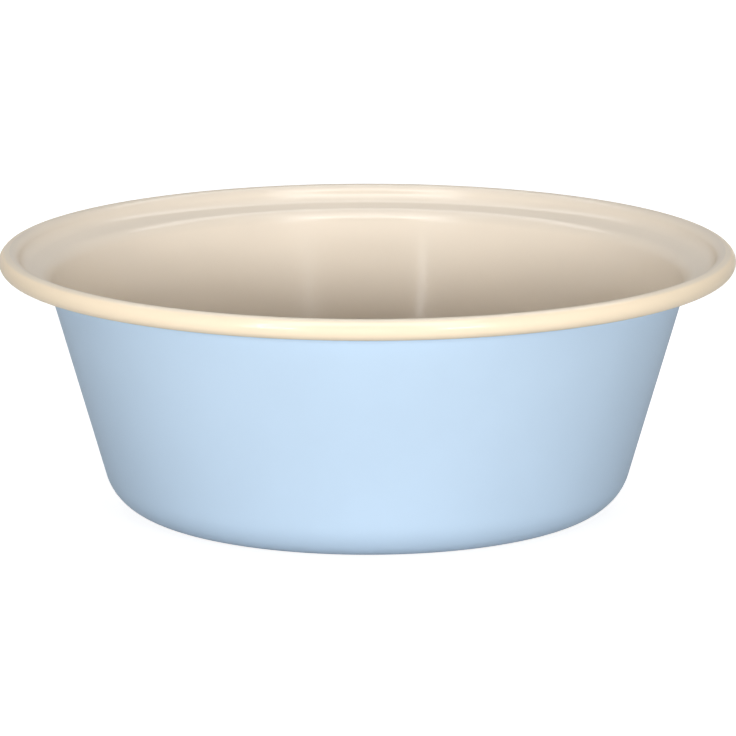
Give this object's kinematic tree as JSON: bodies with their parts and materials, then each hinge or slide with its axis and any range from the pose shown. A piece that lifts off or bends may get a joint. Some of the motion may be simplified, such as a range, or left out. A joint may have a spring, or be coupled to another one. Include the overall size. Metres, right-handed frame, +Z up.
{
  "type": "enamel basin bowl",
  "caption": "Deep round enamelled steel basin with tapered walls, a rounded base corner, a narrow flared lip and a rolled rim, for holding liquids and food.",
  "frame": {"origin": "centre of the flat base, on the surface that the basin stands on", "axes": "+Z up along the basin's axis of symmetry, X and Y level; the basin is a body of revolution, so X and Y are alike"},
  "size_m": [0.3199, 0.32, 0.114],
  "materials": {
    "drawn_steel": "satin",
    "ground_enamel": "gloss",
    "off_white_enamel": "gloss",
    "blue_enamel": "gloss",
    "cream_enamel": "gloss"
  },
  "bodies": {
    "root": {"steel_shell": "drawn_steel", "inner_ground_coat": "ground_enamel", "outer_ground_coat": "ground_enamel", "inner_enamel": "off_white_enamel", "outer_enamel": "blue_enamel", "rim_enamel": "cream_enamel"}
  },
  "joints": []
}
